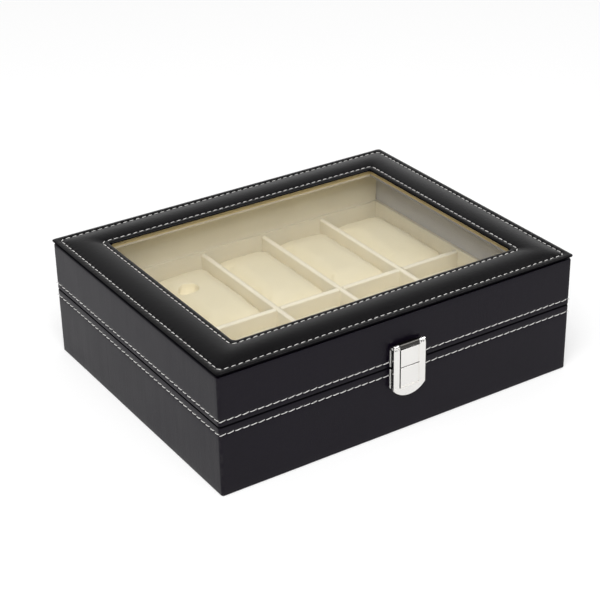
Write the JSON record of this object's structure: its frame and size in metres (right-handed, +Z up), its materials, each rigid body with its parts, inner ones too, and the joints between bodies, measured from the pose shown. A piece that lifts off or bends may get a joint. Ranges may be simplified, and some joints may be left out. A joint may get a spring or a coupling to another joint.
{
  "type": "watch box",
  "caption": "Leather-covered watch box with pillow compartments in a cream-lined base, a hinged lid with a glass window in a padded stitched frame, and a bright metal hasp.",
  "frame": {"origin": "middle of the underside, on the table", "axes": "+X to the right along the front, +Y to the back where the hinges are, +Z up"},
  "size_m": [0.249, 0.2082, 0.0799],
  "materials": {
    "black_leather": "smooth fine-grained black leather, satin",
    "board": "plain fibreboard",
    "frame_board": "tan board with a sealed edge",
    "cream_lining": "cream velvet paper, matt",
    "grey_lining": "grey velvet paper, matt",
    "pillow_cloth": "soft cream velvet",
    "felt": "black felt",
    "foam": "sheet foam",
    "glass": "clear float glass",
    "bright_metal": "polished bright plating",
    "hinge_steel": "plated steel"
  },
  "bodies": {
    "base": {"bottom_felt": "felt", "base_bottom_board": "board", "base_leather": "black_leather", "base_liner_floor": "cream_lining", "long_divider": "cream_lining", "hinge_pins": "hinge_steel", "hinge_base_screws": "hinge_steel", "latch_base_plate": "bright_metal", "latch_base_rivets": "bright_metal", "base_front_wall": "board", "base_liner_front": "cream_lining", "base_back_wall": "board", "base_liner_back": "cream_lining", "base_left_wall": "board", "base_liner_left": "cream_lining", "base_right_wall": "board", "base_liner_right": "cream_lining", "cross_divider_1": "cream_lining", "cross_divider_2": "cream_lining", "cross_divider_3": "cream_lining", "cross_divider_4": "cream_lining", "hinge_base_leaf_left": "hinge_steel", "hinge_base_leaf_right": "hinge_steel"},
    "lid": {"lid_leather": "black_leather", "lid_back_tape": "cream_lining", "glass_pane": "glass", "window_frame": "frame_board", "top_frame_board": "frame_board", "top_frame_leather": "black_leather", "top_frame_foam": "foam", "hinge_lid_screws": "hinge_steel", "latch_lid_plate": "bright_metal", "latch_lid_rivets": "bright_metal", "latch_pin": "bright_metal", "lid_front_wall": "board", "lid_liner_front": "cream_lining", "lid_back_wall": "board", "lid_liner_back": "cream_lining", "lid_left_wall": "board", "lid_liner_left": "grey_lining", "lid_right_wall": "board", "lid_liner_right": "grey_lining", "hinge_lid_leaf_left": "hinge_steel", "hinge_lid_leaf_right": "hinge_steel"},
    "hasp": {"latch_hasp": "bright_metal", "latch_spring": "hinge_steel"},
    "pillow_back_1": {"pillow_back_1": "pillow_cloth"},
    "pillow_back_2": {"pillow_back_2": "pillow_cloth"},
    "pillow_back_3": {"pillow_back_3": "pillow_cloth"},
    "pillow_back_4": {"pillow_back_4": "pillow_cloth"},
    "pillow_back_5": {"pillow_back_5": "pillow_cloth"},
    "pillow_front_1": {"pillow_front_1": "pillow_cloth"},
    "pillow_front_2": {"pillow_front_2": "pillow_cloth"},
    "pillow_front_3": {"pillow_front_3": "pillow_cloth"},
    "pillow_front_4": {"pillow_front_4": "pillow_cloth"},
    "pillow_front_5": {"pillow_front_5": "pillow_cloth"}
  },
  "joints": [
    {"name": "lid_hinge", "type": "hinge", "parent": "base", "child": "lid", "pos_m": [0, 0.102, 0.0446], "axis": [-1, 0, 0], "range_deg": [0, 100]},
    {"name": "hasp_hinge", "type": "hinge", "parent": "lid", "child": "hasp", "pos_m": [0, -0.1026, 0.0582], "axis": [-1, 0, 0], "range_deg": [0, 120]},
    {"name": "pillow_back_1_lift", "type": "slide", "parent": "base", "child": "pillow_back_1", "axis": [0, 0, 1], "range_m": [0, 0.028]},
    {"name": "pillow_back_2_lift", "type": "slide", "parent": "base", "child": "pillow_back_2", "axis": [0, 0, 1], "range_m": [0, 0.028]},
    {"name": "pillow_back_3_lift", "type": "slide", "parent": "base", "child": "pillow_back_3", "axis": [0, 0, 1], "range_m": [0, 0.028]},
    {"name": "pillow_back_4_lift", "type": "slide", "parent": "base", "child": "pillow_back_4", "axis": [0, 0, 1], "range_m": [0, 0.028]},
    {"name": "pillow_back_5_lift", "type": "slide", "parent": "base", "child": "pillow_back_5", "axis": [0, 0, 1], "range_m": [0, 0.028]},
    {"name": "pillow_front_1_lift", "type": "slide", "parent": "base", "child": "pillow_front_1", "axis": [0, 0, 1], "range_m": [0, 0.028]},
    {"name": "pillow_front_2_lift", "type": "slide", "parent": "base", "child": "pillow_front_2", "axis": [0, 0, 1], "range_m": [0, 0.028]},
    {"name": "pillow_front_3_lift", "type": "slide", "parent": "base", "child": "pillow_front_3", "axis": [0, 0, 1], "range_m": [0, 0.028]},
    {"name": "pillow_front_4_lift", "type": "slide", "parent": "base", "child": "pillow_front_4", "axis": [0, 0, 1], "range_m": [0, 0.028]},
    {"name": "pillow_front_5_lift", "type": "slide", "parent": "base", "child": "pillow_front_5", "axis": [0, 0, 1], "range_m": [0, 0.028]}
  ]
}
